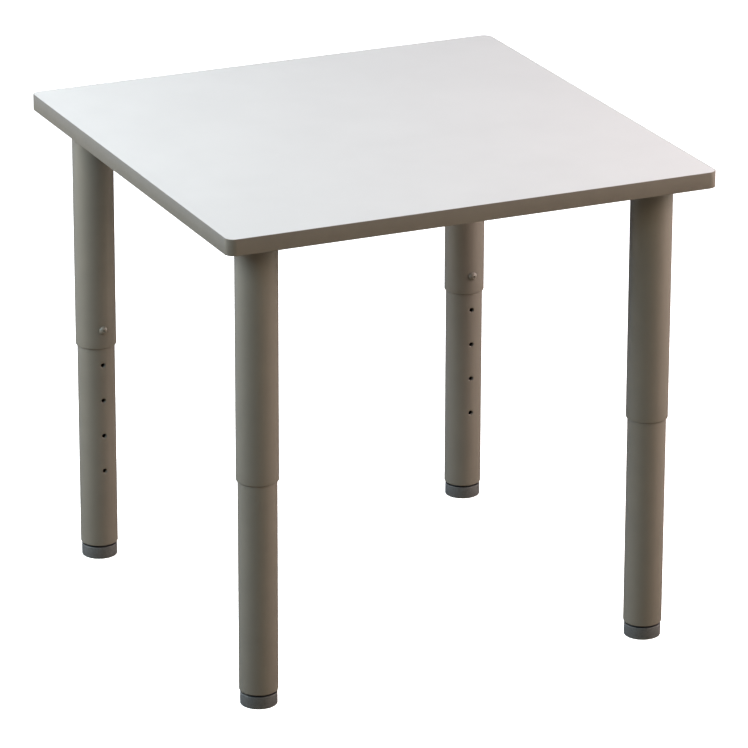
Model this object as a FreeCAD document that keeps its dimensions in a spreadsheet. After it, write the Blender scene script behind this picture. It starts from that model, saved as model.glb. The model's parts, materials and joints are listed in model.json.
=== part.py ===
"""Square activity table, 800 x 800 mm, on four telescoping round legs.

The frame is +Z up with the origin on the floor under the middle of the top, +X along the
front edge and +Y to the rear. The legs are drawn at their longest setting. Each leg is
an upper tube that hangs from a plate under the top, a lower tube that slides in it and is
held by one screw in a row of tapped holes, and a foot on a threaded stem.
"""
import FreeCAD
import Part
import Sketcher
import math
import os

# Driving dimensions, in millimetres and plain counts.
DIMENSIONS = {
    # Tabletop
    "top_length": 800,
    "top_width": 800,
    "corner_radius": 15,
    "core_thickness": 24,
    "laminate_thickness": 0.7,
    "band_thickness": 1,
    "band_arris_radius": 0.5,
    # Leg axes, measured in from the edges of the top
    "leg_inset_x": 75,
    "leg_inset_y": 73,
    # Mounting plate, its weld, its screws and the sleeves that they go into
    "plate_side": 108,
    "plate_corner_radius": 14,
    "plate_thickness": 4,
    "weld_leg": 3,
    "weld_gap": 0.05,
    "plate_screw_offset": 42,
    "plate_screw_diameter": 6,
    "plate_screw_length": 14,
    "plate_screw_clearance": 0.4,
    "plate_screw_head_diameter": 12,
    "plate_screw_head_height": 3.4,
    "plate_screw_dome_radius": 2.2,
    "plate_screw_socket_width": 4,
    "plate_screw_socket_depth": 2.2,
    "sleeve_diameter": 10,
    "sleeve_length": 15,
    "sleeve_play": 0.1,
    # Upper tube
    "upper_tube_diameter": 65,
    "upper_tube_wall": 2,
    "upper_tube_length": 377,
    "rim_radius": 1.6,
    "lock_hole_height": 31.5,
    # Lower tube
    "tube_clearance": 0.5,
    "lower_tube_wall": 2,
    "lower_tube_length": 460,
    "first_hole_height": 129.5,
    "hole_pitch": 60,
    "hole_count": 5,
    "hole_collar_diameter": 12,
    "hole_collar_depth": 3,
    # Guide cap on the lower tube
    "guide_clearance": 0.3,
    "guide_rim_height": 6,
    "guide_spigot_length": 14,
    "guide_wall": 2.5,
    "guide_lead_in": 1.5,
    "plug_clearance": 0.1,
    # Lock screw, a domed head with a shallow hexagon socket
    "lock_screw_diameter": 8,
    "lock_screw_clearance": 0.4,
    "lock_screw_head_diameter": 14,
    "lock_screw_head_height": 4.4,
    "lock_screw_edge_height": 0.6,
    "lock_screw_socket_width": 4,
    "lock_screw_socket_depth": 1.2,
    "lock_screw_seat_gap": 0.2,
    # Socket in the foot of the lower tube, and the nut that it holds
    "socket_recess": 1,
    "socket_floor": 5,
    "socket_height": 30,
    "socket_wall": 2.5,
    "socket_boss_diameter": 25,
    "socket_boss_height": 24,
    "socket_rib_thickness": 2,
    "socket_rib_count": 6,
    "nut_width": 17,
    "nut_height": 8,
    # Foot and its stem
    "foot_diameter": 57,
    "foot_height": 19.5,
    "foot_gap": 3.5,
    "foot_top_radius": 0.8,
    "foot_bottom_radius": 1,
    "foot_rim_width": 2,
    "foot_boss_diameter": 24,
    "foot_hollow_depth": 4,
    "stem_diameter": 10,
    "stem_length": 55,
    "stem_clearance": 0.3,
    "stem_chamfer": 1,
    "stem_head_width": 17,
    "stem_head_height": 6.4,
    "stem_head_floor": 5,
}

# Corner of the table, and the sign of its X and Y.
CORNERS = [
    ("front_left", -1, -1),
    ("front_right", 1, -1),
    ("rear_left", -1, 1),
    ("rear_right", 1, 1),
]

# A sketch's own numbers for its axes and origin, and for the points of a line or an arc.
X_AXIS, Y_AXIS = range(-1, -3, -1)
ORIGIN = X_AXIS
START, END, CENTRE = range(1, 4)

FULL_TURN = 360
HEXAGON_REACH = 1 / math.cos(math.radians(30))  # across a hexagon's corners, over its flats
SAME = 1e-6
UP = FreeCAD.Vector(0, 0, 1)


class Size:
    """A length with its number and the formula that ties it to the spreadsheet."""

    def __init__(self, value, formula):
        self.value = value
        self.formula = formula

    def __add__(self, other):
        other = as_size(other)
        return Size(self.value + other.value, f"({self.formula} + {other.formula})")

    def __sub__(self, other):
        other = as_size(other)
        return Size(self.value - other.value, f"({self.formula} - {other.formula})")

    def __mul__(self, other):
        other = as_size(other)
        return Size(self.value * other.value, f"({self.formula} * {other.formula})")

    def __truediv__(self, other):
        other = as_size(other)
        return Size(self.value / other.value, f"({self.formula} / {other.formula})")

    def __neg__(self):
        return self * -1


def as_size(number):
    return number if isinstance(number, Size) else Size(float(number), f"({number})")


class Dimensions:
    """The driving dimensions as sizes, read as attributes."""

    def __init__(self, numbers):
        for name, number in numbers.items():
            setattr(self, name, Size(float(number), f"Dimensions.{name}"))


document = FreeCAD.newDocument("ActivityTable")
d = Dimensions(DIMENSIONS)
parts = []


def fill_sheet():
    sheet = document.addObject("Spreadsheet::Sheet", "Dimensions")
    for row, (name, number) in enumerate(DIMENSIONS.items(), start=1):
        sheet.set(f"A{row}", name)
        sheet.set(f"B{row}", str(number))
        sheet.setAlias(f"B{row}", name)
    document.recompute()


# Sketch helpers

def new_body(label):
    body = document.addObject("PartDesign::Body", label)
    body.Label = label
    parts.append(body)
    return body


def new_sketch(body, plane_role, name, offset=None):
    """A sketch on one of the body's own planes, moved along the plane's normal by offset."""
    plane = next(item for item in body.Origin.OriginFeatures if item.Role == plane_role)
    sketch = body.newObject("Sketcher::SketchObject", f"{body.Name}_{name}")
    sketch.AttachmentSupport = (plane, [""])
    sketch.MapMode = "FlatFace"
    if offset is not None:
        sketch.setExpression("AttachmentOffset.Base.z", as_size(offset).formula)
    return sketch


def constrain(sketch, kind, *references, size=None):
    if size is None:
        sketch.addConstraint(Sketcher.Constraint(kind, *references))
        return
    index = sketch.addConstraint(Sketcher.Constraint(kind, *references, size.value))
    sketch.setExpression(f"Constraints[{index}]", size.formula)


def locate(sketch, geometry, point, x, y):
    """Tie a point to its place in the sketch; the number 0 puts it on an axis."""
    if x == 0:
        constrain(sketch, "PointOnObject", geometry, point, Y_AXIS)
    else:
        constrain(sketch, "DistanceX", ORIGIN, START, geometry, point, size=x)
    if y == 0:
        constrain(sketch, "PointOnObject", geometry, point, X_AXIS)
    else:
        constrain(sketch, "DistanceY", ORIGIN, START, geometry, point, size=y)


def vector(x, y):
    return FreeCAD.Vector(as_size(x).value, as_size(y).value, 0)


def draw_circle(sketch, radius, x=0, y=0):
    circle = sketch.addGeometry(Part.Circle(vector(x, y), UP, radius.value))
    locate(sketch, circle, CENTRE, x, y)
    constrain(sketch, "Radius", circle, size=radius)


def draw_outline(sketch, points):
    """A closed outline of straight lines through the points."""
    first = None
    for index, (x, y) in enumerate(points):
        following = points[(index + 1) % len(points)]
        line = sketch.addGeometry(Part.LineSegment(vector(x, y), vector(*following)))
        first = line if first is None else first
        locate(sketch, line, START, x, y)
    for index in range(len(points)):
        following = (index + 1) % len(points)
        constrain(sketch, "Coincident", first + index, END, first + following, START)


def draw_hexagon(sketch, width, x=0, y=0):
    """A hexagon of the given width across its flats, with two corners on its Y axis."""
    corner = width / 2 * HEXAGON_REACH
    offsets = [
        (0, corner), (width / 2, corner / 2), (width / 2, -corner / 2),
        (0, -corner), (-width / 2, -corner / 2), (-width / 2, corner / 2),
    ]
    draw_outline(sketch, [(shift(x, dx), shift(y, dy)) for dx, dy in offsets])


def shift(start, offset):
    """A place moved by an offset, where either may be the number 0."""
    if start == 0:
        return offset
    return start if offset == 0 else start + offset


def draw_domed_disc(sketch, radius, edge, height):
    """Half of a disc with an upright edge and an arc over the top, beside its axis."""
    corners = [vector(0, height), vector(0, 0), vector(radius, 0), vector(radius, edge)]
    axis, base, side = (
        sketch.addGeometry(Part.LineSegment(*ends)) for ends in zip(corners, corners[1:]))
    rise = (height - edge).value
    bend = (radius.value ** 2 + rise ** 2) / (2 * rise)
    centre = height.value - bend
    circle = Part.Circle(vector(0, centre), UP, bend)
    start = math.atan2(edge.value - centre, radius.value)
    arc = sketch.addGeometry(Part.ArcOfCircle(circle, start, math.pi / 2))
    locate(sketch, axis, START, 0, height)
    locate(sketch, base, START, 0, 0)
    locate(sketch, side, START, radius, 0)
    locate(sketch, arc, START, radius, edge)
    constrain(sketch, "PointOnObject", arc, CENTRE, Y_AXIS)
    constrain(sketch, "Coincident", axis, END, base, START)
    constrain(sketch, "Coincident", base, END, side, START)
    constrain(sketch, "Coincident", side, END, arc, START)
    constrain(sketch, "Coincident", arc, END, axis, START)


def draw_rounded_rectangle(sketch, length, width, radius):
    half_x = length / 2
    half_y = width / 2
    arcs = []
    for quarter, (sx, sy) in enumerate([(1, 1), (-1, 1), (-1, -1), (1, -1)]):
        x = (half_x - radius) * sx
        y = (half_y - radius) * sy
        circle = Part.Circle(vector(x, y), UP, radius.value)
        start = quarter * math.pi / 2
        arc = sketch.addGeometry(Part.ArcOfCircle(circle, start, start + math.pi / 2))
        locate(sketch, arc, CENTRE, x, y)
        constrain(sketch, "Radius", arc, size=radius)
        arcs.append(arc)
    for quarter, arc in enumerate(arcs):
        following = arcs[(quarter + 1) % len(arcs)]
        ends = (sketch.getPoint(arc, END), sketch.getPoint(following, START))
        line = sketch.addGeometry(Part.LineSegment(*ends))
        constrain(sketch, "Tangent", arc, END, line, START)
        constrain(sketch, "Tangent", line, END, following, START)


# Feature helpers

def new_feature(body, kind, name):
    return body.newObject(f"PartDesign::{kind}", f"{body.Name}_{name}")


def pad(sketch, length, name, downward=False):
    feature = new_feature(sketch.getParentGeoFeatureGroup(), "Pad", name)
    feature.Profile = (sketch, [""])
    feature.Reversed = downward
    feature.setExpression("Length", as_size(length).formula)
    return feature


def pocket(sketch, length, name, upward=False):
    """Cuts against the sketch's normal, or along it when upward is set."""
    feature = new_feature(sketch.getParentGeoFeatureGroup(), "Pocket", name)
    feature.Profile = (sketch, [""])
    feature.Reversed = upward
    feature.setExpression("Length", as_size(length).formula)
    return feature


def revolve(sketch, name, kind="Revolution"):
    """Turns the sketch once round its own vertical axis."""
    feature = new_feature(sketch.getParentGeoFeatureGroup(), kind, name)
    feature.Profile = (sketch, [""])
    feature.ReferenceAxis = (sketch, ["V_Axis"])
    feature.Angle = FULL_TURN
    return feature


def pattern_along(feature, axis_role, pitch, count, name):
    """Repeats a feature in a row along one of its body's axes."""
    body = feature.getParentGeoFeatureGroup()
    row = new_feature(body, "LinearPattern", name)
    row.Originals = [feature]
    axis = next(item for item in body.Origin.OriginFeatures if item.Role == axis_role)
    row.Direction = (axis, [""])
    row.Mode = "Spacing"
    row.setExpression("Offset", pitch.formula)
    row.setExpression("Occurrences", count.formula)
    body.Tip = row
    return row


def pattern_round(feature, count, name):
    """Repeats a feature round the body's Z axis."""
    body = feature.getParentGeoFeatureGroup()
    ring = new_feature(body, "PolarPattern", name)
    ring.Originals = [feature]
    axis = next(item for item in body.Origin.OriginFeatures if item.Role == "Z_Axis")
    ring.Axis = (axis, [""])
    ring.Angle = FULL_TURN
    ring.setExpression("Occurrences", count.formula)
    body.Tip = ring
    return ring


def level_edges(shape, height, outer=None):
    """Names of the edges that lie level at a height, and of one radius if outer is given."""
    names = []
    for index, edge in enumerate(shape.Edges, start=1):
        box = edge.BoundBox
        level = abs(box.ZMin - height) < SAME and abs(box.ZMax - height) < SAME
        round_edge = isinstance(edge.Curve, Part.Circle)
        fits = outer is None or (round_edge and abs(edge.Curve.Radius - outer) < SAME)
        if level and fits:
            names.append(f"Edge{index}")
    return names


def soften(body, base, edge_names, size, name, kind="Fillet"):
    feature = new_feature(body, kind, name)
    feature.Base = (base, edge_names)
    feature.setExpression("Radius" if kind == "Fillet" else "Size", size.formula)
    return feature


def place(body, x=0, y=0, z=0, rotation=None):
    body.Placement = FreeCAD.Placement(FreeCAD.Vector(), rotation or FreeCAD.Rotation())
    for axis, distance in (("x", x), ("y", y), ("z", z)):
        body.setExpression(f"Placement.Base.{axis}", as_size(distance).formula)


# Sizes that follow from the driving dimensions

upper_radius = d.upper_tube_diameter / 2
upper_bore = upper_radius - d.upper_tube_wall
lower_radius = upper_bore - d.tube_clearance
lower_bore = lower_radius - d.lower_tube_wall
plug_radius = lower_bore - d.plug_clearance

lower_tube_z = d.foot_height + d.foot_gap
last_hole_height = d.first_hole_height + d.hole_pitch * (d.hole_count - 1)
upper_tube_z = lower_tube_z + last_hole_height - d.lock_hole_height
plate_z = upper_tube_z + d.upper_tube_length
underside_z = plate_z + d.plate_thickness
core_z = underside_z + d.laminate_thickness
top_laminate_z = core_z + d.core_thickness
slab_thickness = d.core_thickness + d.laminate_thickness * 2

core_length = d.top_length - d.band_thickness * 2
core_width = d.top_width - d.band_thickness * 2
core_corner_radius = d.corner_radius - d.band_thickness
sleeve_hole_radius = d.sleeve_diameter / 2 + d.sleeve_play


def leg_place(sign_x, sign_y):
    x = (d.top_length / 2 - d.leg_inset_x) * sign_x
    y = (d.top_width / 2 - d.leg_inset_y) * sign_y
    return x, y


def inward_turn(sign_y):
    """The turn that points a leg's holes and its lock screw at the middle of the table."""
    return FreeCAD.Rotation(UP, 0 if sign_y < 0 else FULL_TURN / 2)


def plate_screw_places():
    return [(d.plate_screw_offset * sx, d.plate_screw_offset * sy)
            for sx in (-1, 1) for sy in (-1, 1)]


# Tabletop

def draw_sleeve_holes(sketch):
    """The four sleeve holes of each leg, seen in the tabletop's own frame."""
    for _, sign_x, sign_y in CORNERS:
        leg_x, leg_y = leg_place(sign_x, sign_y)
        for x, y in plate_screw_places():
            draw_circle(sketch, sleeve_hole_radius, leg_x + x, leg_y + y)


def build_tabletop_core():
    body = new_body("tabletop_core")
    outline = new_sketch(body, "XY_Plane", "outline")
    draw_rounded_rectangle(outline, core_length, core_width, core_corner_radius)
    pad(outline, d.core_thickness, "board")
    holes = new_sketch(body, "XY_Plane", "holes")
    draw_sleeve_holes(holes)
    pocket(holes, d.sleeve_length - d.laminate_thickness + d.sleeve_play, "sleeve_holes", upward=True)
    place(body, z=core_z)


def build_laminate(label, height, drilled):
    body = new_body(label)
    outline = new_sketch(body, "XY_Plane", "outline")
    draw_rounded_rectangle(outline, core_length, core_width, core_corner_radius)
    pad(outline, d.laminate_thickness, "sheet")
    if drilled:
        holes = new_sketch(body, "XY_Plane", "holes")
        draw_sleeve_holes(holes)
        pocket(holes, d.laminate_thickness, "sleeve_holes", upward=True)
    place(body, z=height)


def build_edge_band():
    body = new_body("edge_band")
    outline = new_sketch(body, "XY_Plane", "outline")
    draw_rounded_rectangle(outline, d.top_length, d.top_width, d.corner_radius)
    draw_rounded_rectangle(outline, core_length, core_width, core_corner_radius)
    strip = pad(outline, slab_thickness, "strip")
    document.recompute()
    outer_edges = [
        name for height in (0, slab_thickness.value) for name in level_edges(strip.Shape, height)
        if is_outer(strip.Shape.getElement(name))
    ]
    soften(body, strip, outer_edges, d.band_arris_radius, "arris")
    place(body, z=underside_z)


def is_outer(edge):
    """Whether an edge of the band lies on the outer outline of the top."""
    if isinstance(edge.Curve, Part.Circle):
        return abs(edge.Curve.Radius - d.corner_radius.value) < SAME
    middle = edge.BoundBox.Center
    on_side = abs(abs(middle.x) - d.top_length.value / 2) < SAME
    on_front_or_rear = abs(abs(middle.y) - d.top_width.value / 2) < SAME
    return on_side or on_front_or_rear


# Upper half of a leg, fixed to the top

def build_mounting_plate(corner, sign_x, sign_y):
    body = new_body(f"{corner}_mounting_plate")
    outline = new_sketch(body, "XY_Plane", "outline")
    draw_rounded_rectangle(outline, d.plate_side, d.plate_side, d.plate_corner_radius)
    pad(outline, d.plate_thickness, "plate")
    weld = new_sketch(body, "XZ_Plane", "weld")
    weld_inside = upper_radius + d.weld_gap
    draw_outline(weld, [
        (weld_inside, 0), (weld_inside + d.weld_leg, 0), (weld_inside, -d.weld_leg),
    ])
    revolve(weld, "weld_bead")
    holes = new_sketch(body, "XY_Plane", "holes")
    for x, y in plate_screw_places():
        draw_circle(holes, d.plate_screw_diameter / 2 + d.plate_screw_clearance, x, y)
    pocket(holes, d.plate_thickness, "screw_holes", upward=True)
    leg_x, leg_y = leg_place(sign_x, sign_y)
    place(body, leg_x, leg_y, plate_z)


def build_plate_screws(corner, sign_x, sign_y):
    """Four button-head screws, seen with their heads hanging under the plate."""
    body = new_body(f"{corner}_plate_screws")
    shanks = new_sketch(body, "XY_Plane", "shanks")
    heads = new_sketch(body, "XY_Plane", "heads")
    sockets = new_sketch(body, "XY_Plane", "sockets", offset=-d.plate_screw_head_height)
    for x, y in plate_screw_places():
        draw_circle(shanks, d.plate_screw_diameter / 2, x, y)
        draw_circle(heads, d.plate_screw_head_diameter / 2, x, y)
        draw_hexagon(sockets, d.plate_screw_socket_width, x, y)
    pad(shanks, d.plate_screw_length, "shank")
    head = pad(heads, d.plate_screw_head_height, "head", downward=True)
    document.recompute()
    rims = level_edges(head.Shape, -d.plate_screw_head_height.value)
    soften(body, head, rims, d.plate_screw_dome_radius, "dome")
    pocket(sockets, d.plate_screw_socket_depth, "socket", upward=True)
    leg_x, leg_y = leg_place(sign_x, sign_y)
    place(body, leg_x, leg_y, plate_z)


def build_threaded_sleeves(corner, sign_x, sign_y):
    """Four threaded steel sleeves, set flush with the underside of the top."""
    body = new_body(f"{corner}_threaded_sleeves")
    rings = new_sketch(body, "XY_Plane", "rings")
    for x, y in plate_screw_places():
        draw_circle(rings, d.sleeve_diameter / 2, x, y)
        draw_circle(rings, d.plate_screw_diameter / 2 + d.sleeve_play, x, y)
    pad(rings, d.sleeve_length, "sleeve")
    leg_x, leg_y = leg_place(sign_x, sign_y)
    place(body, leg_x, leg_y, underside_z)


def build_upper_tube(corner, sign_x, sign_y):
    body = new_body(f"{corner}_upper_tube")
    section = new_sketch(body, "XY_Plane", "section")
    draw_circle(section, upper_radius)
    draw_circle(section, upper_bore)
    tube = pad(section, d.upper_tube_length, "tube")
    document.recompute()
    rim = level_edges(tube.Shape, 0, outer=upper_radius.value)
    soften(body, tube, rim, d.rim_radius, "rim")
    hole = new_sketch(body, "XZ_Plane", "hole")
    draw_circle(hole, d.lock_screw_diameter / 2 + d.lock_screw_clearance, 0, d.lock_hole_height)
    pocket(hole, d.upper_tube_diameter, "lock_hole")
    leg_x, leg_y = leg_place(sign_x, sign_y)
    place(body, leg_x, leg_y, upper_tube_z, inward_turn(sign_y))


# Lower half of a leg, which slides in the upper tube

def build_lower_tube(corner, sign_x, sign_y):
    """The sliding tube, with a row of holes whose rims are drawn inward for their threads."""
    body = new_body(f"{corner}_lower_tube")
    section = new_sketch(body, "XY_Plane", "section")
    draw_circle(section, lower_radius)
    draw_circle(section, lower_bore)
    tube = pad(section, d.lower_tube_length, "tube")
    document.recompute()
    rim = level_edges(tube.Shape, 0, outer=lower_radius.value)
    soften(body, tube, rim, d.rim_radius, "rim")
    collar_root = lower_bore + d.lower_tube_wall / 2
    collar = new_sketch(body, "XZ_Plane", "collar", offset=-collar_root)
    draw_circle(collar, d.hole_collar_diameter / 2, 0, d.first_hole_height)
    collar_pad = pad(collar, d.hole_collar_depth + d.lower_tube_wall / 2, "collar")
    pattern_along(collar_pad, "Z_Axis", d.hole_pitch, d.hole_count, "collar_row")
    hole = new_sketch(body, "XZ_Plane", "hole")
    draw_circle(hole, d.lock_screw_diameter / 2, 0, d.first_hole_height)
    hole_cut = pocket(hole, lower_radius * 2, "hole")
    pattern_along(hole_cut, "Z_Axis", d.hole_pitch, d.hole_count, "hole_row")
    leg_x, leg_y = leg_place(sign_x, sign_y)
    place(body, leg_x, leg_y, lower_tube_z, inward_turn(sign_y))


def build_guide_cap(corner, sign_x, sign_y):
    """A plastic cap on the lower tube that keeps it centred in the upper one."""
    body = new_body(f"{corner}_guide_cap")
    profile = new_sketch(body, "XZ_Plane", "profile")
    rim_radius = upper_bore - d.guide_clearance
    draw_outline(profile, [
        (0, 0), (rim_radius, 0), (rim_radius, d.guide_rim_height), (0, d.guide_rim_height),
    ])
    revolve(profile, "rim")
    spigot = new_sketch(body, "XY_Plane", "spigot")
    draw_circle(spigot, plug_radius)
    draw_circle(spigot, plug_radius - d.guide_wall)
    whole = pad(spigot, d.guide_spigot_length, "spigot", downward=True)
    document.recompute()
    top_edge = level_edges(whole.Shape, d.guide_rim_height.value)
    soften(body, whole, top_edge, d.guide_lead_in, "lead_in", kind="Chamfer")
    leg_x, leg_y = leg_place(sign_x, sign_y)
    place(body, leg_x, leg_y, lower_tube_z + d.lower_tube_length)


def build_lock_screw(corner, sign_x, sign_y):
    """Dome-headed screw along its own Z; the shank stops inside the upper tube's wall."""
    body = new_body(f"{corner}_lock_screw")
    shank = new_sketch(body, "XY_Plane", "shank")
    draw_circle(shank, d.lock_screw_diameter / 2)
    pad(shank, d.upper_tube_wall + d.lock_screw_seat_gap, "shank", downward=True)
    head = new_sketch(body, "XZ_Plane", "head")
    draw_domed_disc(
        head, d.lock_screw_head_diameter / 2, d.lock_screw_edge_height, d.lock_screw_head_height)
    revolve(head, "head")
    socket = new_sketch(body, "XY_Plane", "socket", offset=d.lock_screw_head_height)
    draw_hexagon(socket, d.lock_screw_socket_width)
    pocket(socket, d.lock_screw_socket_depth, "socket")
    leg_x, leg_y = leg_place(sign_x, sign_y)
    reach = (upper_radius + d.lock_screw_seat_gap) * -sign_y
    facing = FreeCAD.Rotation(UP, FreeCAD.Vector(0, -sign_y, 0))
    place(body, leg_x, leg_y + reach, upper_tube_z + d.lock_hole_height, facing)


def build_foot_socket(corner, sign_x, sign_y):
    """A ribbed plastic plug, open at the top, that is pressed into the end of the tube."""
    body = new_body(f"{corner}_foot_socket")
    bore = d.stem_diameter / 2 + d.stem_clearance
    boss = d.socket_boss_diameter / 2
    skirt = plug_radius - d.socket_wall
    profile = new_sketch(body, "XZ_Plane", "profile")
    draw_outline(profile, [
        (bore, 0), (plug_radius, 0), (plug_radius, d.socket_height), (skirt, d.socket_height),
        (skirt, d.socket_floor), (boss, d.socket_floor), (boss, d.socket_boss_height),
        (bore, d.socket_boss_height),
    ])
    revolve(profile, "plug")
    overlap = d.socket_wall / 2
    rib = new_sketch(body, "XY_Plane", "rib", offset=d.socket_floor)
    half_rib = d.socket_rib_thickness / 2
    draw_outline(rib, [
        (boss - overlap, -half_rib), (skirt + overlap, -half_rib),
        (skirt + overlap, half_rib), (boss - overlap, half_rib),
    ])
    rib_pad = pad(rib, d.socket_boss_height - d.socket_floor, "rib")
    pattern_round(rib_pad, d.socket_rib_count, "ribs")
    nut = new_sketch(body, "XY_Plane", "nut", offset=d.socket_boss_height)
    draw_hexagon(nut, d.nut_width + d.plug_clearance * 2)
    pocket(nut, d.nut_height, "nut_pocket")
    leg_x, leg_y = leg_place(sign_x, sign_y)
    place(body, leg_x, leg_y, lower_tube_z + d.socket_recess)


def build_foot_nut(corner, sign_x, sign_y):
    body = new_body(f"{corner}_foot_nut")
    outline = new_sketch(body, "XY_Plane", "outline")
    draw_hexagon(outline, d.nut_width)
    draw_circle(outline, d.stem_diameter / 2 + d.stem_clearance)
    pad(outline, d.nut_height, "nut")
    bevel = new_sketch(body, "XZ_Plane", "bevel")
    flat_radius = d.nut_width / 2
    corner_radius = flat_radius * HEXAGON_REACH
    slope = corner_radius - flat_radius
    draw_outline(bevel, [
        (flat_radius, d.nut_height), (corner_radius, d.nut_height - slope / 2),
        (corner_radius + slope, d.nut_height - slope / 2), (corner_radius + slope, d.nut_height + slope),
        (flat_radius, d.nut_height + slope),
    ])
    revolve(bevel, "bevel_cut", kind="Groove")
    leg_x, leg_y = leg_place(sign_x, sign_y)
    nut_floor = d.socket_boss_height - d.nut_height
    place(body, leg_x, leg_y, lower_tube_z + d.socket_recess + nut_floor)


# Foot

def build_foot_stem(corner, sign_x, sign_y):
    body = new_body(f"{corner}_foot_stem")
    head = new_sketch(body, "XY_Plane", "head")
    draw_hexagon(head, d.stem_head_width)
    pad(head, d.stem_head_height, "head")
    shaft = new_sketch(body, "XY_Plane", "shaft")
    draw_circle(shaft, d.stem_diameter / 2)
    thread = pad(shaft, d.stem_length, "thread")
    document.recompute()
    tip = level_edges(thread.Shape, d.stem_length.value)
    soften(body, thread, tip, d.stem_chamfer, "tip", kind="Chamfer")
    leg_x, leg_y = leg_place(sign_x, sign_y)
    place(body, leg_x, leg_y, d.stem_head_floor)


def build_foot_pad(corner, sign_x, sign_y):
    """The moulded foot, hollow round a boss in which the stem's hexagon head is buried."""
    body = new_body(f"{corner}_foot_pad")
    disc = new_sketch(body, "XY_Plane", "disc")
    draw_circle(disc, d.foot_diameter / 2)
    foot = pad(disc, d.foot_height, "disc")
    document.recompute()
    lower_rim = level_edges(foot.Shape, 0)
    softened = soften(body, foot, lower_rim, d.foot_bottom_radius, "lower_rim")
    document.recompute()
    upper_rim = level_edges(softened.Shape, d.foot_height.value)
    soften(body, softened, upper_rim, d.foot_top_radius, "upper_rim")
    hollow = new_sketch(body, "XY_Plane", "hollow", offset=d.foot_height)
    draw_circle(hollow, d.foot_diameter / 2 - d.foot_rim_width)
    draw_circle(hollow, d.foot_boss_diameter / 2)
    pocket(hollow, d.foot_hollow_depth, "hollow")
    head = new_sketch(body, "XY_Plane", "head", offset=d.stem_head_floor)
    draw_hexagon(head, d.stem_head_width + d.plug_clearance * 2)
    pocket(head, d.stem_head_height + d.plug_clearance, "head_pocket", upward=True)
    shaft = new_sketch(body, "XY_Plane", "shaft", offset=d.foot_height)
    draw_circle(shaft, d.stem_diameter / 2 + d.plug_clearance)
    pocket(shaft, d.foot_height - d.stem_head_floor, "shaft_hole")
    leg_x, leg_y = leg_place(sign_x, sign_y)
    place(body, leg_x, leg_y, 0)


def check_features():
    """Stops on a failed feature, and on a cut that removed nothing."""
    for item in document.Objects:
        if any(word in ("Invalid", "Error") for word in item.State):
            raise RuntimeError(f"{item.Name} failed: {item.State}")
        if item.TypeId in ("PartDesign::Pocket", "PartDesign::Groove"):
            removed = item.BaseFeature.Shape.Volume - item.Shape.Volume
            if removed < SAME:
                raise RuntimeError(f"{item.Name} cuts nothing")


def export_parts():
    os.makedirs("parts", exist_ok=True)
    for body in parts:
        if body.Shape.isNull() or not body.Shape.isValid():
            raise RuntimeError(f"{body.Label} has no valid shape")
    for body in parts:
        body.Shape.exportStep(os.path.join("parts", f"{body.Label}.step"))


fill_sheet()
build_tabletop_core()
build_laminate("top_laminate", top_laminate_z, drilled=False)
build_laminate("underside_laminate", underside_z, drilled=True)
build_edge_band()
for corner_of_table in CORNERS:
    build_mounting_plate(*corner_of_table)
    build_plate_screws(*corner_of_table)
    build_threaded_sleeves(*corner_of_table)
    build_upper_tube(*corner_of_table)
    build_lower_tube(*corner_of_table)
    build_guide_cap(*corner_of_table)
    build_lock_screw(*corner_of_table)
    build_foot_socket(*corner_of_table)
    build_foot_nut(*corner_of_table)
    build_foot_stem(*corner_of_table)
    build_foot_pad(*corner_of_table)
document.recompute()
check_features()
export_parts()
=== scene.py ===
"""The look of the height-adjustable activity table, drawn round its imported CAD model.

Everything is in metres in the model's own frame: +Z up, the floor at Z 0 and the middle of the top
over the origin, +X along the front edge. Flat and hidden CAD pieces stay and get materials. The
tubes, plates, screws, stems, feet and the skins of the top are drawn again as finer meshes, with
threads, weld ripples and soft rims.
"""
import json
import math

import bmesh
import bpy
from mathutils import Matrix, Vector


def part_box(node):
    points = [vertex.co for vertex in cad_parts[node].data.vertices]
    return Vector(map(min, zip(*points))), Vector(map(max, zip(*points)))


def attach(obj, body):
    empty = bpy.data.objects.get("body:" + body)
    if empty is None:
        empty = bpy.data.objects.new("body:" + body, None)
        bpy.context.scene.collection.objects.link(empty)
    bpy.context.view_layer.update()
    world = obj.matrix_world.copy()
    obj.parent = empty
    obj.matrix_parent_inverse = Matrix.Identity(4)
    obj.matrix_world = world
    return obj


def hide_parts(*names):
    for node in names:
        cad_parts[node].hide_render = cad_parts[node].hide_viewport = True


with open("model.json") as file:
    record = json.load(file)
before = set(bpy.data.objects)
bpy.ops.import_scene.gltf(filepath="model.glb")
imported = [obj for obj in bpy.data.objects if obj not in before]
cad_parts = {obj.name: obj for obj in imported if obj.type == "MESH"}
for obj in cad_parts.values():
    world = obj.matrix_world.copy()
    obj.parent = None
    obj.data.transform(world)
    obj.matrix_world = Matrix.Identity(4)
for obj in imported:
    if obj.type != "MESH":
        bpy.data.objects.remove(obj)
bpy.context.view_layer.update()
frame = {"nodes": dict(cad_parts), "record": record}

MM = 0.001
FULL_TURN = 2 * math.pi
HEXAGON_REACH = 1 / math.cos(math.radians(30))  # across a hexagon's corners, over its flats

# Corner of the table, and the sign of the Y that points from it to the middle
CORNERS = (("front_left", 1), ("front_right", 1), ("rear_left", -1), ("rear_right", -1))

# Top
CORNER_RADIUS = 15 * MM
BAND_THICKNESS = 1 * MM
BAND_ARRIS = 0.5 * MM
LAMINATE_BEVEL = 0.12 * MM
CORNER_STEPS = 16

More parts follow.
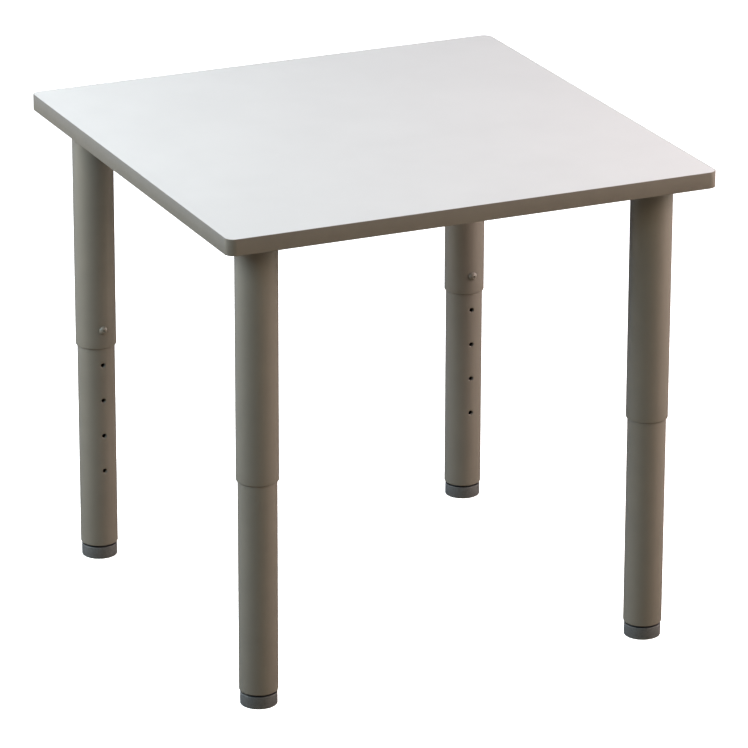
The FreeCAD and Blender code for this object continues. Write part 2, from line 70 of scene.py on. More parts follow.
# Tubes
TUBE_WALL = 2 * MM
TUBE_RIM = 1.6 * MM
TUBE_COLUMNS = 72
DRILLED_STRIP = 16 * MM
STRIP_COLUMNS = 8
HOLE_RADIUS = 4 * MM
HOLE_BEVEL = 0.35 * MM
FIRST_HOLE = 129.5 * MM
HOLE_PITCH = 60 * MM
HOLE_COUNT = 5
COLLAR_RADIUS = 6 * MM
COLLAR_DEPTH = 3 * MM
LOCK_HOLE_RADIUS = 4.4 * MM
LOCK_HOLE_HEIGHT = 31.5 * MM

# Screws and threads
THREAD_DEPTH = 0.54  # depth of a thread, over its pitch
LOCK_PITCH = 1.25 * MM
LOCK_SHANK = dict(shank=4 * MM, length=2.2 * MM, pitch=LOCK_PITCH)
LOCK_HEAD = dict(radius=7 * MM, edge=0.6 * MM, height=4.4 * MM, socket=4 * MM, depth=1.2 * MM)
PLATE_SCREW_SHANK = dict(shank=3 * MM, length=14 * MM, pitch=1 * MM)
PLATE_SCREW_HEAD = dict(radius=6 * MM, height=3.4 * MM, dome=2.2 * MM, socket=4 * MM, depth=2.2 * MM)

# Mounting plate and its weld
PLATE_CORNER_RADIUS = 14 * MM
PLATE_BEVEL = 0.6 * MM
PLATE_HOLE_RADIUS = 3.4 * MM
PLATE_SCREW_OFFSET = 42 * MM
WELD_LEG = 3 * MM
WELD_GAP = 0.05 * MM
WELD_BULGE = 0.45 * MM
WELD_RIPPLES = 84
WELD_RIPPLE_DEPTH = 0.16 * MM

# Foot
FOOT_BOTTOM_RADIUS = 1 * MM
FOOT_TOP_RADIUS = 0.8 * MM
FOOT_RIM_WIDTH = 2 * MM
FOOT_BOSS_RADIUS = 12 * MM
FOOT_HOLLOW_DEPTH = 4 * MM
FOOT_BEVEL = 0.3 * MM
STEM_RADIUS = 5 * MM
STEM_HEAD_WIDTH = 17 * MM
STEM_HEAD_FLOOR = 5 * MM
STEM_HEAD_HEIGHT = 6.4 * MM
STEM_PLAY = 0.1 * MM
STEM_PITCH = 1.5 * MM
STEM_TIP = 1 * MM

# Colours, as linear red, green and blue
PAINT_DARK = (0.143, 0.127, 0.107)
PAINT_LIGHT = (0.153, 0.135, 0.113)
BAND_DARK = (0.130, 0.113, 0.095)
BAND_LIGHT = (0.139, 0.121, 0.101)

# Camera
CAMERA_PLACE = Vector((-3.0581, -6.7438, 3.0902))
CAMERA_YAW = math.radians(24.489)
CAMERA_PITCH = math.radians(20.176)
CAMERA_ROLL = math.radians(0.1513)
CAMERA_LENS = 242.61
CAMERA_SENSOR = 36
CAMERA_SIGHT = 200

# Floor and light; directions are in degrees round from +X, and AWAY points away from the camera
AWAY = 65.5
FLOOR_REACH = 40
FLOOR_GLOW = 1
SOFTBOX = (1.6, 1.2, 2.6)  # width, height and distance
WALL = (5, 2.6, 6)
LIGHT_TARGET = 0.4
LIGHTS = (  # degrees round from AWAY, elevation, and brightness for red, green and blue
    ("left_low", SOFTBOX, 90, 6, (1.85, 1.84, 1.39)),
    ("left_high", SOFTBOX, 90, 30, (12.5, 13.0, 12.6)),
    ("right_high", SOFTBOX, -90, 30, (11.3, 9.3, 9.1)),
    ("front_wall", WALL, 180, 40, (2.6, 2.1, 1.2)),
    ("front_left_wall", WALL, 130, 35, (2.5, 4.3, 5.7)),
    ("right_wall", WALL, -90, 8, (5.1, 4.5, 3.5)),
    ("rear_left_wall", WALL, 60, 8, (1.6, 2.1, 3.2)),
    ("rear_right_wall", WALL, -60, 8, (2.6, 2.4, 2.5)),
)
BACKDROP = 1.1
GLOW_ELEVATION = 60
GLOW = (  # cosine of the angle from the glow's axis, and brightness
    (-1, (0.59, 0.45, 0.28)),
    (-0.5, (0.11, 0.13, 0.15)),
    (0, (0, 0, 0)),
)


# Meshes

class Shape:
    """Points and faces gathered for one piece, moved into place as they are added."""

    def __init__(self, place=Matrix.Identity(4)):
        self.place = place
        self.points = []
        self.faces = []

    def add_loops(self, loops, closed=False, caps=False):
        """A skin over rows of points. It may close on itself, or be capped at both ends."""
        first = len(self.points)
        count = len(loops[0])
        for loop in loops:
            self.points.extend(self.place @ Vector(point) for point in loop)
        for row in range(len(loops) if closed else len(loops) - 1):
            here = first + row * count
            there = first + (row + 1) % len(loops) * count
            for i in range(count):
                j = (i + 1) % count
                self.faces.append((here + i, here + j, there + j, there + i))
        if caps:
            last = first + (len(loops) - 1) * count
            self.faces.append(tuple(range(first + count - 1, first - 1, -1)))
            self.faces.append(tuple(range(last, last + count)))

    def add_strip(self, near, far):
        """Quads between two open rows of points."""
        first = len(self.points)
        self.points.extend(self.place @ Vector(point) for point in [*near, *far])
        count = len(near)
        for i in range(count - 1):
            self.faces.append((first + i, first + i + 1, first + count + i + 1, first + count + i))

    def piece(self, name, body, slot, *replaced):
        """Makes the finished object, which rides on its body in place of the CAD nodes."""
        mesh = bpy.data.meshes.new(name)
        mesh.from_pydata(self.points, [], self.faces)
        dress(mesh, name, body, slot, *replaced)


MERGE_DISTANCE = 0.001 * MM
SHARP_ANGLE = math.radians(38)


def dress(mesh, name, body, slot, *replaced):
    """Cleans a mesh, shades it and makes it a piece of the model."""
    work = bmesh.new()
    work.from_mesh(mesh)
    bmesh.ops.remove_doubles(work, verts=work.verts, dist=MERGE_DISTANCE)
    bmesh.ops.recalc_face_normals(work, faces=work.faces)
    work.to_mesh(mesh)
    work.free()
    mesh.shade_smooth()
    mesh.set_sharp_from_angle(angle=SHARP_ANGLE)
    mesh.materials.append(FINISHES[slot])
    piece = bpy.data.objects.new(name, mesh)
    bpy.context.scene.collection.objects.link(piece)
    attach(piece, body)
    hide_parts(*replaced)


def quarter(steps):
    """Angles over a quarter turn, both ends included."""
    return [math.pi / 2 * step / steps for step in range(steps + 1)]


def turned(rows, columns):
    """Rings about Z. A row is a radius and a height, and either may depend on the angle."""
    loops = []
    for radius, height in rows:
        loop = []
        for column in range(columns):
            angle = FULL_TURN * column / columns
            reach = radius(angle) if callable(radius) else radius
            level = height(angle) if callable(height) else height
            loop.append((reach * math.cos(angle), reach * math.sin(angle), level))
        loops.append(loop)
    return loops


def hexagon(width):
    """The radius of a hexagon of that width across its flats, by angle."""
    def reach(angle):
        from_flat = (angle + math.pi / 6) % (math.pi / 3) - math.pi / 6
        return width / 2 / math.cos(from_flat)
    return reach


def thread_rows(radius, start, end, pitch, depth, per_turn=8):
    """Rows of an outer thread from one height to another, fading out at both ends."""
    count = max(4, round((end - start) / pitch * per_turn))
    fading = min(per_turn, count / 3)
    rows = []
    for step in range(count + 1):
        height = start + (end - start) * step / count
        fade = min(1, step / fading, (count - step) / fading)
        rows.append((thread_radius(radius, height, pitch, depth * fade), height))
    return rows


def thread_radius(radius, height, pitch, depth):
    """A flat-crested V groove that climbs one pitch in each turn."""
    def reach(angle):
        phase = (height / pitch - angle / FULL_TURN) % 1
        groove = max(0, min(1, 1.2 - 2.4 * abs(phase - 0.5)))
        return radius - depth * groove
    return reach


# Tubes

def strip_steps():
    return [DRILLED_STRIP * (step / STRIP_COLUMNS - 0.5) for step in range(STRIP_COLUMNS + 1)]


def tube_ring(radius, height):
    """Points round a tube, evenly spaced in X over the drilled strip, which faces +Y."""
    strip = [(x, math.sqrt(radius ** 2 - x ** 2), height) for x in strip_steps()]
    edge = math.asin(DRILLED_STRIP / 2 / radius)
    rest = []
    for column in range(1, TUBE_COLUMNS):
        angle = edge + (FULL_TURN - 2 * edge) * column / TUBE_COLUMNS
        rest.append((radius * math.sin(angle), radius * math.cos(angle), height))
    return strip + rest


def patch_border():
    """The square round a hole, as offsets from its middle, once round."""
    steps = strip_steps()
    half = DRILLED_STRIP / 2
    return (
        [(half, v) for v in steps[:-1]] + [(-v, half) for v in steps[:-1]]
        + [(-half, -v) for v in steps[:-1]] + [(v, -half) for v in steps[:-1]]
    )


def add_hole(shape, outer, bore, height, radius, collar, thread_pitch):
    """The skin from the square on the outside, through the hole, to the square on the bore."""
    def on(surface, u, v):
        return (u, math.sqrt(surface ** 2 - u ** 2), height + v)

    border = patch_border()
    ways = []
    for u, v in border:
        angle = math.atan2(v, u)
        ways.append((math.cos(angle), math.sin(angle), angle))

    def circle(surface, reach, depth=0.0):
        ring = []
        for c, s, _ in ways:
            x, y, z = on(surface, reach * c, reach * s)
            ring.append((x, y - depth, z))
        return ring

    def halfway(surface, reach):
        ring = []
        for (u, v), (c, s, _) in zip(border, ways):
            ring.append(on(surface, (u + reach * c) / 2, (v + reach * s) / 2))
        return ring

    mouth = radius + HOLE_BEVEL
    loops = [[on(outer, u, v) for u, v in border], halfway(outer, mouth)]
    for turn in quarter(3):
        sink = HOLE_BEVEL * (1 - math.cos(turn))
        loops.append(circle(outer, mouth - HOLE_BEVEL * math.sin(turn), sink))
    wall_end = bore - COLLAR_DEPTH if collar else None
    steps = 28 if thread_pitch else 2
    for step in range(1, steps + 1):
        share = step / steps
        fade = min(1, 5 * share, 5 * (1 - share))
        ring = []
        for c, s, angle in ways:
            start = math.sqrt(outer ** 2 - (radius * c) ** 2) - HOLE_BEVEL
            end = wall_end if collar else math.sqrt(bore ** 2 - (radius * c) ** 2)
            y = start + (end - start) * share
            reach = radius
            if thread_pitch:
                phase = (y / thread_pitch - angle / FULL_TURN) % 1
                reach -= THREAD_DEPTH * thread_pitch * fade * max(0, 1.2 - 2.4 * abs(phase - 0.5)) / 1.2
            ring.append((reach * c, y, height + reach * s))
        loops.append(ring)
    if collar:
        loops.append([(collar * c, wall_end, height + collar * s) for c, s, _ in ways])
        loops.append(circle(bore, collar))
    loops.append([on(bore, u, v) for u, v in border])
    shape.add_loops(loops)


def add_drilled_tube(shape, outer, low, high, hole_heights, hole_radius, collar=0.0, thread_pitch=0.0):
    """A tube about Z with a rounded outer rim at its lower end and holes in its +Y side."""
    bore = outer - TUBE_WALL
    half = DRILLED_STRIP / 2
    levels = {low + TUBE_RIM, high}
    for height in hole_heights:
        levels.update(height + step for step in strip_steps())
    levels = sorted(levels)
    rows = [(outer, level) for level in reversed(levels)]
    rows += [
        (outer - TUBE_RIM * (1 - math.cos(turn)), low + TUBE_RIM * (1 - math.sin(turn)))
        for turn in quarter(6)[1:]
    ]
    rows += [(bore, low)] + [(bore, level) for level in levels]
    loops = [tube_ring(radius, level) for radius, level in rows]
    for index in range(len(loops)):
        following = (index + 1) % len(loops)
        middle = (rows[index][1] + rows[following][1]) / 2
        drilled = rows[index][0] == rows[following][0] and any(
            abs(middle - height) < half for height in hole_heights)
        near, far = loops[index], loops[following]
        start = STRIP_COLUMNS if drilled else 0
        shape.add_strip(near[start:] + near[:1], far[start:] + far[:1])
    for height in hole_heights:
        add_hole(shape, outer, bore, height, hole_radius, collar, thread_pitch)


# Screws

def screw(shank, length, pitch, head):
    """Rings of a screw about Z, its head above Z 0, from its tip to its socket."""
    chamfer = 0.12 * shank
    rows = [(shank - THREAD_DEPTH * pitch, -length), (shank - chamfer, -length + chamfer)]
    rows += thread_rows(shank, -length + chamfer, 0, pitch, THREAD_DEPTH * pitch)
    return turned(rows + head, 48)


def button_head(radius, height, dome, socket, depth):
    """Rows of a flat-topped head with a rounded edge and a deep hexagon socket."""
    under_bevel = 0.3 * MM
    lip = 0.25 * MM
    return [(radius - under_bevel, 0), (radius, under_bevel)] + [
        (radius - dome * (1 - math.cos(turn)), height - dome * (1 - math.sin(turn)))
        for turn in quarter(8)
    ] + [
        (hexagon(socket + 2 * lip), height),
        (hexagon(socket), height - lip),
        (hexagon(socket), height - depth),
        (socket / 8, height - depth - socket / 8),
    ]


def domed_head(radius, edge, height, socket, depth):
    """Rows of a head that is an arc from its edge to its middle, with a shallow hexagon socket."""
    rise = height - edge
    bend = (radius ** 2 + rise ** 2) / (2 * rise)
    bevel = 0.15 * MM

    def on_dome(reach):
        return height - bend + math.sqrt(bend ** 2 - reach ** 2)

    mouth = hexagon(socket + 2 * bevel)
    wall = hexagon(socket)
    inner = (socket / 2 + bevel) * HEXAGON_REACH + bevel
    reaches = [radius + (inner - radius) * step / 12 for step in range(13)]
    return [(radius - bevel, 0), (radius, bevel)] + [
        (reach, on_dome(reach)) for reach in reaches
    ] + [
        (mouth, lambda angle: on_dome(mouth(angle))),
        (wall, lambda angle: on_dome(mouth(angle)) - bevel),
        (wall, height - depth + bevel),
        (hexagon(socket - 2 * bevel), height - depth),
    ]


# Finishes

class Finish:
    """A procedural material: a Principled shader whose detail comes from the object's own space."""

    def __init__(self, name, roughness, **sockets):
        self.material = bpy.data.materials.new(name)
        self.material.use_nodes = True
        self.nodes = self.material.node_tree.nodes
        self.links = self.material.node_tree.links
        self.shader = self.nodes["Principled BSDF"]
        self.shader.inputs["Roughness"].default_value = roughness
        for socket, value in sockets.items():
            self.shader.inputs[socket.replace("_", " ")].default_value = value
        self.space = self.nodes.new("ShaderNodeTexCoord").outputs["Object"]

    def noise(self, size, detail):
        """Noise whose grain is about the given size."""
        node = self.nodes.new("ShaderNodeTexNoise")
        node.inputs["Scale"].default_value = 1 / size
        node.inputs["Detail"].default_value = detail
        self.links.new(self.space, node.inputs["Vector"])
        return node.outputs["Fac"]

    def cells(self, size):
        node = self.nodes.new("ShaderNodeTexVoronoi")
        node.inputs["Scale"].default_value = 1 / size
        self.links.new(self.space, node.inputs["Vector"])
        return node

    def ramp(self, fac, *stops):
        """A colour or grey value for each stop, read at fac."""
        node = self.nodes.new("ShaderNodeValToRGB")
        elements = node.color_ramp.elements
        while len(elements) < len(stops):
            elements.new(0.5)
        for element, (position, colour) in zip(elements, stops):
            element.position = position
            element.color = (*colour, 1) if isinstance(colour, tuple) else (colour, colour, colour, 1)
        self.links.new(fac, node.inputs["Fac"])
        return node.outputs["Color"]

    def colour(self, fac, *stops):
        self.links.new(self.ramp(fac, *stops), self.shader.inputs["Base Color"])

    def roughness(self, fac, low, high):
        self.links.new(self.ramp(fac, (0.3, low), (0.7, high)), self.shader.inputs["Roughness"])

    def bump(self, height, distance, under=None):
        node = self.nodes.new("ShaderNodeBump")
        node.inputs["Distance"].default_value = distance
        self.links.new(height, node.inputs["Height"])
        if under is not None:
            self.links.new(under, node.inputs["Normal"])
        self.links.new(node.outputs["Normal"], self.shader.inputs["Normal"])
        return node.outputs["Normal"]


def white_laminate():
    """Matt high-pressure laminate with a fine grain."""
    finish = Finish("white_laminate", 0.42, Specular_IOR_Level=0)
    cloud = finish.noise(0.09, 3)
    finish.colour(cloud, (0.3, (0.59, 0.586, 0.593)), (0.7, (0.605, 0.601, 0.608)))
    finish.roughness(finish.noise(0.02, 3), 0.40, 0.46)
    coarse = finish.bump(finish.noise(1.6 * MM, 2), 0.006 * MM)
    finish.bump(finish.noise(0.35 * MM, 2), 0.004 * MM, coarse)
    return finish.material


def backer_laminate():
    finish = Finish("backer_laminate", 0.6)
    finish.colour(finish.noise(0.05, 4), (0.3, (0.56, 0.56, 0.545)), (0.7, (0.60, 0.60, 0.585)))
    finish.bump(finish.noise(0.9 * MM, 3), 0.015 * MM)
    return finish.material


def board():
    """Pressed wood flakes and dust."""
    finish = Finish("board", 0.85)
    flakes = finish.cells(2.6 * MM)
    finish.colour(flakes.outputs["Color"], (0.0, (0.33, 0.21, 0.11)), (0.5, (0.50, 0.36, 0.21)),
                  (1.0, (0.64, 0.50, 0.33)))
    finish.bump(flakes.outputs["Distance"], 0.25 * MM)
    return finish.material


def edge_band():
    """Taupe edging with a fine pebbled grain."""
    finish = Finish("edge_band", 0.42)
    finish.colour(finish.noise(0.03, 4), (0.3, BAND_DARK), (0.7, BAND_LIGHT))
    finish.roughness(finish.noise(2.4 * MM, 3), 0.38, 0.47)
    grain = finish.bump(finish.noise(0.55 * MM, 2), 0.012 * MM)
    finish.bump(finish.noise(3.2 * MM, 1), 0.01 * MM, grain)
    return finish.material


def painted_tube():
    """Taupe powder coat with a slight orange peel."""
    finish = Finish("painted_tube", 0.48)
    finish.colour(finish.noise(0.04, 3), (0.3, PAINT_DARK), (0.7, PAINT_LIGHT))
    finish.roughness(finish.noise(5 * MM, 3), 0.45, 0.52)
    peel = finish.bump(finish.noise(1.7 * MM, 1.5), 0.022 * MM)
    finish.bump(finish.noise(0.4 * MM, 2), 0.005 * MM, peel)
    return finish.material


def foot_plastic():
    """Dark moulded plastic with a spark-eroded texture and light scuffing."""
    finish = Finish("foot_plastic", 0.5)
    finish.colour(finish.noise(2.6 * MM, 4), (0.25, (0.052, 0.052, 0.054)), (0.75, (0.09, 0.088, 0.088)))
    finish.roughness(finish.noise(1.5 * MM, 3), 0.42, 0.6)
    texture = finish.bump(finish.noise(0.7 * MM, 3), 0.05 * MM)
    finish.bump(finish.noise(2.2 * MM, 2), 0.04 * MM, texture)
    return finish.material


def zinc_steel():
    """Bright zinc plating, faintly clouded."""
    finish = Finish("zinc_steel", 0.28, Metallic=1.0)
    finish.colour(finish.noise(3 * MM, 4), (0.3, (0.56, 0.57, 0.60)), (0.7, (0.70, 0.71, 0.72)))
    finish.roughness(finish.noise(1.2 * MM, 4), 0.22, 0.38)
    finish.bump(finish.noise(0.3 * MM, 3), 0.006 * MM)
    return finish.material


def inner_plastic():
    """Black moulded plastic of the plugs and guide caps."""
    finish = Finish("inner_plastic", 0.48)
    finish.colour(finish.noise(4 * MM, 3), (0.3, (0.008, 0.008, 0.009)), (0.7, (0.014, 0.014, 0.015)))
    finish.roughness(finish.noise(2 * MM, 2), 0.42, 0.56)
    finish.bump(finish.noise(0.5 * MM, 2), 0.02 * MM)
    return finish.material


FINISHES = {
    make.__name__: make() for make in (
        white_laminate, backer_laminate, board, edge_band, painted_tube, foot_plastic, zinc_steel,
        inner_plastic)
}


# Pieces

def middle(node):
    low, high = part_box(node)
    return (low + high) / 2


def outline(inset, height):
    """The rounded square of the top, drawn in by an inset, at one height."""
    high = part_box("edge_band")[1]
    half_x = high.x - inset
    half_y = high.y - inset
    radius = CORNER_RADIUS - inset
    loop = []
    for turn, (sx, sy) in enumerate(((1, 1), (-1, 1), (-1, -1), (1, -1))):
        for angle in quarter(CORNER_STEPS):
            way = angle + turn * math.pi / 2
            x = (half_x - radius) * sx + radius * math.cos(way)
            y = (half_y - radius) * sy + radius * math.sin(way)
            loop.append((x, y, height))
    return loop


def draw_top():
    low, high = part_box("edge_band")
    band = Shape()
    rows = [(BAND_THICKNESS, low.z)]
    rows += [
        (BAND_ARRIS * (1 - math.sin(turn)), low.z + BAND_ARRIS * (1 - math.cos(turn)))
        for turn in quarter(4)
    ]
    rows += [
        (BAND_ARRIS * (1 - math.cos(turn)), high.z - BAND_ARRIS * (1 - math.sin(turn)))
        for turn in quarter(4)
    ]
    rows += [(BAND_THICKNESS, high.z)]
    band.add_loops([outline(inset, height) for inset, height in rows], closed=True)
    band.piece("top_edge_banding", "table", "edge_band", "edge_band")

    low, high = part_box("top_laminate")
    sheet = Shape()
    rows = [
        (BAND_THICKNESS, low.z),
        (BAND_THICKNESS, high.z - LAMINATE_BEVEL),
        (BAND_THICKNESS + LAMINATE_BEVEL, high.z),
    ]
    sheet.add_loops([outline(inset, height) for inset, height in rows], caps=True)
    sheet.piece("top_writing_surface", "table", "white_laminate", "top_laminate")


def leg_place(node, inward):
    """The leg's axis on the floor, turned so that its own +Y faces the middle of the table."""
    centre = middle(node)
    turn = Matrix.Rotation(0 if inward > 0 else math.pi, 4, "Z")
    return Matrix.Translation((centre.x, centre.y, 0)) @ turn


def draw_tubes(corner, inward):
    for name, body in (("upper_tube", "table"), ("lower_tube", f"{corner}_leg")):
        node = f"{corner}_{name}"
        low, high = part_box(node)
        outer = (high.x - low.x) / 2
        tube = Shape(leg_place(node, inward))
        if name == "upper_tube":
            add_drilled_tube(tube, outer, low.z, high.z, [low.z + LOCK_HOLE_HEIGHT], LOCK_HOLE_RADIUS)
        else:
            heights = [low.z + FIRST_HOLE + HOLE_PITCH * step for step in range(HOLE_COUNT)]
            add_drilled_tube(tube, outer, low.z, high.z, heights, HOLE_RADIUS, COLLAR_RADIUS, LOCK_PITCH)
        tube.piece(f"{node}_coated", body, "painted_tube", node)


def draw_lock_screw(corner, inward):
    node = f"{corner}_lock_screw"
    low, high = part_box(node)
    centre = middle(node)
    tip = low.y if inward > 0 else high.y
    seat = tip + LOCK_SHANK["length"] * inward
    facing = Vector((0, inward, 0)).to_track_quat("Z", "Y").to_matrix().to_4x4()
    lock = Shape(Matrix.Translation((centre.x, seat, centre.z)) @ facing)
    lock.add_loops(screw(**LOCK_SHANK, head=domed_head(**LOCK_HEAD)), caps=True)
    lock.piece(f"{node}_threaded", f"{corner}_lock", "painted_tube", node)


def draw_foot(corner):
    body = f"{corner}_foot"
    pad_node = f"{corner}_foot_pad"
    low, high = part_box(pad_node)
    radius = (high.x - low.x) / 2
    place = leg_place(pad_node, 1)
    bore = STEM_RADIUS + STEM_PLAY
    pocket = hexagon(STEM_HEAD_WIDTH + 2 * STEM_PLAY)
    pocket_top = STEM_HEAD_FLOOR + STEM_HEAD_HEIGHT + STEM_PLAY
    rows = [
        (radius - FOOT_BOTTOM_RADIUS * (1 - math.sin(turn)), FOOT_BOTTOM_RADIUS * (1 - math.cos(turn)))
        for turn in quarter(6)
    ]
    rows += [
        (radius - FOOT_TOP_RADIUS * (1 - math.cos(turn)), high.z - FOOT_TOP_RADIUS * (1 - math.sin(turn)))
        for turn in quarter(4)
    ]
    rim = radius - FOOT_RIM_WIDTH
    floor = high.z - FOOT_HOLLOW_DEPTH
    rows += [
        (rim + FOOT_BEVEL, high.z), (rim, high.z - FOOT_BEVEL), (rim, floor), (FOOT_BOSS_RADIUS, floor),
        (FOOT_BOSS_RADIUS, high.z - FOOT_BEVEL), (FOOT_BOSS_RADIUS - FOOT_BEVEL, high.z),
        (bore + FOOT_BEVEL, high.z), (bore, high.z - FOOT_BEVEL), (bore, pocket_top),
        (pocket, pocket_top), (pocket, STEM_HEAD_FLOOR),
    ]
    pad = Shape(place)
    pad.add_loops(turned(rows, 96), caps=True)
    pad.piece(f"{pad_node}_moulded", body, "foot_plastic", pad_node)

    stem_node = f"{corner}_foot_stem"
    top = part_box(stem_node)[1].z
    shoulder = STEM_HEAD_FLOOR + STEM_HEAD_HEIGHT
    depth = THREAD_DEPTH * STEM_PITCH
    rows = [(hexagon(STEM_HEAD_WIDTH), STEM_HEAD_FLOOR), (hexagon(STEM_HEAD_WIDTH), shoulder)]
    rows += thread_rows(STEM_RADIUS, shoulder, top - STEM_TIP, STEM_PITCH, depth, per_turn=6)
    rows += [(STEM_RADIUS - depth, top)]
    stem = Shape(place)
    stem.add_loops(turned(rows, 36), caps=True)
    stem.piece(f"{stem_node}_threaded", body, "zinc_steel", stem_node)


def plate_screw_places():
    return [(PLATE_SCREW_OFFSET * sx, PLATE_SCREW_OFFSET * sy) for sx in (-1, 1) for sy in (-1, 1)]


def flat_plate(half, radius, thickness, bevel, holes, hole_radius):
    """A plate with rounded corners, soft edges and round holes, on Z 0 and upwards."""
    curve = bpy.data.curves.new("plate", "CURVE")
    curve.dimensions = "2D"
    curve.fill_mode = "BOTH"
    curve.extrude = thickness / 2 - bevel
    curve.bevel_depth = bevel
    curve.bevel_resolution = 2
    curve.offset = -bevel
    corners = []
    for turn, (sx, sy) in enumerate(((1, 1), (-1, 1), (-1, -1), (1, -1))):
        for angle in quarter(8):
            way = angle + turn * math.pi / 2
            corners.append(((half - radius) * sx + radius * math.cos(way),
                            (half - radius) * sy + radius * math.sin(way)))
    around = [FULL_TURN * step / 32 for step in range(32)]
    circles = [
        [(x + hole_radius * math.cos(angle), y + hole_radius * math.sin(angle)) for angle in around]
        for x, y in holes
    ]
    for path in [corners, *circles]:
        spline = curve.splines.new("POLY")
        spline.points.add(len(path) - 1)
        for point, (x, y) in zip(spline.points, path):
            point.co = (x, y, 0, 1)
        spline.use_cyclic_u = True
    carrier = bpy.data.objects.new("plate", curve)
    bpy.context.scene.collection.objects.link(carrier)
    mesh = bpy.data.meshes.new_from_object(carrier.evaluated_get(bpy.context.evaluated_depsgraph_get()))
    bpy.data.objects.remove(carrier)
    bpy.data.curves.remove(curve)
    mesh.transform(Matrix.Translation((0, 0, thickness / 2)))
    return mesh


def weld_bead(radius):
    """Rings of a rippled weld bead in the corner under a plate, round a tube of that radius."""
    inside = radius + WELD_GAP
    columns = WELD_RIPPLES * 5
    across = 7
    loops = []
    for step in range(across + 1):
        share = step / across
        crown = math.sin(math.pi * share)
        loop = []
        for column in range(columns):
            angle = FULL_TURN * column / columns
            wander = 0.16 * MM * math.sin(5 * angle + 1) + 0.1 * MM * math.sin(13 * angle)
            ripple = (angle / FULL_TURN * WELD_RIPPLES + 0.45 * crown) % 1
            swell = crown * (WELD_BULGE - WELD_RIPPLE_DEPTH * ripple) + wander * crown
            reach = inside + WELD_LEG * (1 - share) + swell * math.sqrt(0.5)
            height = -WELD_LEG * share - swell * math.sqrt(0.5)
            loop.append((reach * math.cos(angle), reach * math.sin(angle), height))
        loops.append(loop)
    loops.append([(inside * math.cos(FULL_TURN * column / columns),
                   inside * math.sin(FULL_TURN * column / columns), 0) for column in range(columns)])
    return loops


def draw_plate(corner):
    node = f"{corner}_mounting_plate"
    low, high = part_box(node)
    centre = middle(node)
    underside = low.z + WELD_LEG
    place = Matrix.Translation((centre.x, centre.y, underside))
    tube_low, tube_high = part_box(f"{corner}_upper_tube")
    bead = Shape(place)
    bead.add_loops(weld_bead((tube_high.x - tube_low.x) / 2), closed=True)
    mesh = flat_plate(high.x - centre.x, PLATE_CORNER_RADIUS, high.z - underside, PLATE_BEVEL,
                      plate_screw_places(), PLATE_HOLE_RADIUS)
    mesh.transform(place)
    work = bmesh.new()
    work.from_mesh(mesh)
    points = [work.verts.new(point) for point in bead.points]
    for face in bead.faces:
        work.faces.new([points[index] for index in face])
    work.to_mesh(mesh)
    work.free()
    dress(mesh, f"{node}_welded", "table", "painted_tube", node)

    screws = Shape()
    head = button_head(**PLATE_SCREW_HEAD)
    for x, y in plate_screw_places():
        screws.place = Matrix.Translation((centre.x + x, centre.y + y, underside)) @ Matrix.Rotation(
            math.pi, 4, "X")
        screws.add_loops(screw(**PLATE_SCREW_SHANK, head=head), caps=True)
    screws.piece(f"{corner}_plate_screws_threaded", "table", "zinc_steel", f"{corner}_plate_screws")


def keep_nodes():
    """The record's finish on every CAD node that stays in view."""
    slots = {part["node"]: part["material_slot"] for part in frame["record"]["subparts"]}
    for name, node in frame["nodes"].items():
        for material_slot in node.material_slots:
            material_slot.material = FINISHES[slots[name]]


# Camera, floor and light

def set_camera():
    forward = Vector((
        math.sin(CAMERA_YAW) * math.cos(CAMERA_PITCH),
        math.cos(CAMERA_YAW) * math.cos(CAMERA_PITCH),
        -math.sin(CAMERA_PITCH)))
    level = Vector((math.cos(CAMERA_YAW), -math.sin(CAMERA_YAW), 0))
    upright = level.cross(forward)
    right = level * math.cos(CAMERA_ROLL) + upright * math.sin(CAMERA_ROLL)
    up = upright * math.cos(CAMERA_ROLL) - level * math.sin(CAMERA_ROLL)
    data = bpy.data.cameras.new("camera")
    data.lens = CAMERA_LENS
    data.sensor_width = CAMERA_SENSOR
    data.clip_end = CAMERA_SIGHT
    camera = bpy.data.objects.new("camera", data)
    camera.matrix_world = Matrix.Translation(CAMERA_PLACE) @ Matrix(
        (right, up, -forward)).transposed().to_4x4()
    bpy.context.scene.collection.objects.link(camera)
    bpy.context.scene.camera = camera


def set_floor():
    """A pale, glowing floor that throws no light back, as round a cut-out picture."""
    mesh = bpy.data.meshes.new("floor")
    corners = [(x * FLOOR_REACH, y * FLOOR_REACH, 0) for x, y in ((-1, -1), (1, -1), (1, 1), (-1, 1))]
    mesh.from_pydata(corners, [], [(0, 1, 2, 3)])
    finish = Finish("floor", 0.9, Specular_IOR_Level=0.2, Emission_Color=(1, 1, 1, 1),
                    Emission_Strength=FLOOR_GLOW)
    finish.colour(finish.noise(0.5, 2), (0.3, (0.88, 0.88, 0.88)), (0.7, (0.9, 0.9, 0.9)))
    mesh.materials.append(finish.material)
    floor = bpy.data.objects.new("floor", mesh)
    floor.visible_diffuse = False
    floor.visible_glossy = False
    floor.visible_shadow = False
    bpy.context.scene.collection.objects.link(floor)


def aim(azimuth, elevation):
    """The direction from the table towards a place in the studio."""
    azimuth, elevation = math.radians(azimuth), math.radians(elevation)
    level = math.cos(elevation)
    return Vector((math.cos(azimuth) * level, math.sin(azimuth) * level, math.sin(elevation)))


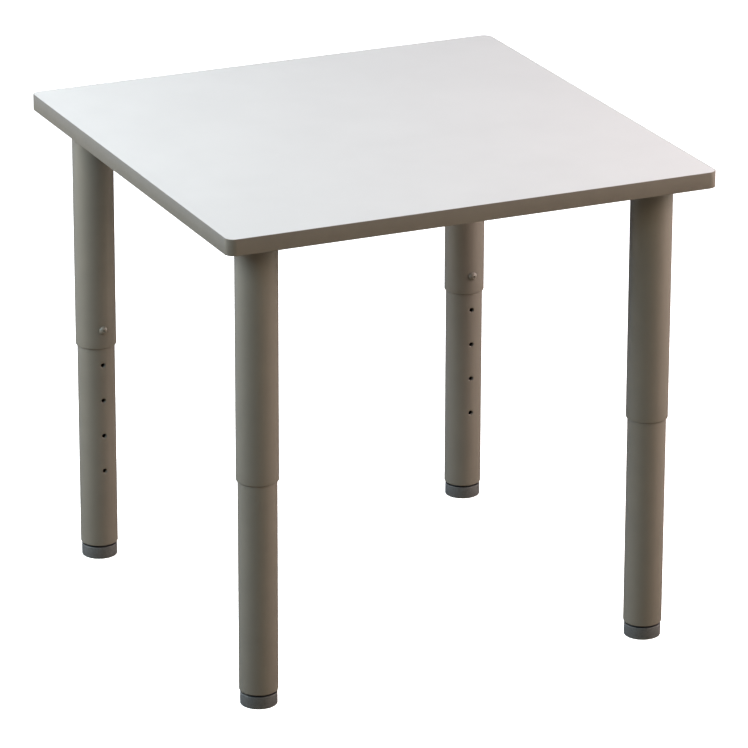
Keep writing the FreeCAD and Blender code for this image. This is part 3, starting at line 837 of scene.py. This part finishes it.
def soft_light(name, panel, azimuth, elevation, radiance):
    """A softbox or a lit wall that faces the legs, its brightness given for red, green and blue."""
    data = bpy.data.lights.new(name, "AREA")
    data.shape = "RECTANGLE"
    data.size, data.size_y, distance = panel
    data.energy = math.pi * data.size * data.size_y * max(radiance)
    data.color = [part / max(radiance) for part in radiance]
    light = bpy.data.objects.new(name, data)
    towards = aim(azimuth, elevation)
    light.location = Vector((0, 0, LIGHT_TARGET)) + towards * distance
    light.rotation_euler = (-towards).to_track_quat("-Z", "Y").to_euler()
    light.visible_camera = False
    bpy.context.scene.collection.objects.link(light)


def set_studio():
    """Softboxes at both sides, lit walls beyond, a glow low in front and white past the floor."""
    world = bpy.data.worlds.new("studio")
    world.use_nodes = True
    nodes, links = world.node_tree.nodes, world.node_tree.links
    along = nodes.new("ShaderNodeVectorMath")
    along.operation = "DOT_PRODUCT"
    along.inputs[1].default_value = aim(AWAY, GLOW_ELEVATION)
    links.new(nodes.new("ShaderNodeTexCoord").outputs["Generated"], along.inputs[0])
    spread = nodes.new("ShaderNodeMapRange")
    spread.inputs["From Min"].default_value = -1
    links.new(along.outputs["Value"], spread.inputs["Value"])
    ramp = nodes.new("ShaderNodeValToRGB")
    elements = ramp.color_ramp.elements
    while len(elements) < len(GLOW):
        elements.new(0.5)
    for element, (position, radiance) in zip(elements, GLOW):
        element.position = (position + 1) / 2
        element.color = (*radiance, 1)
    links.new(spread.outputs["Result"], ramp.inputs["Fac"])
    beyond = nodes.new("ShaderNodeMix")
    beyond.data_type = "RGBA"
    beyond.inputs["B"].default_value = (BACKDROP, BACKDROP, BACKDROP, 1)
    links.new(nodes.new("ShaderNodeLightPath").outputs["Is Camera Ray"], beyond.inputs["Factor"])
    links.new(ramp.outputs["Color"], beyond.inputs["A"])
    links.new(beyond.outputs["Result"], nodes["Background"].inputs["Color"])
    scene = bpy.context.scene
    scene.world = world
    scene.view_settings.view_transform = "Standard"
    for name, panel, turn, elevation, radiance in LIGHTS:
        soft_light(name, panel, AWAY + turn, elevation, radiance)


keep_nodes()
draw_top()
for corner_name, way_in in CORNERS:
    draw_tubes(corner_name, way_in)
    draw_lock_screw(corner_name, way_in)
    draw_foot(corner_name)
    draw_plate(corner_name)
set_camera()
set_floor()
set_studio()
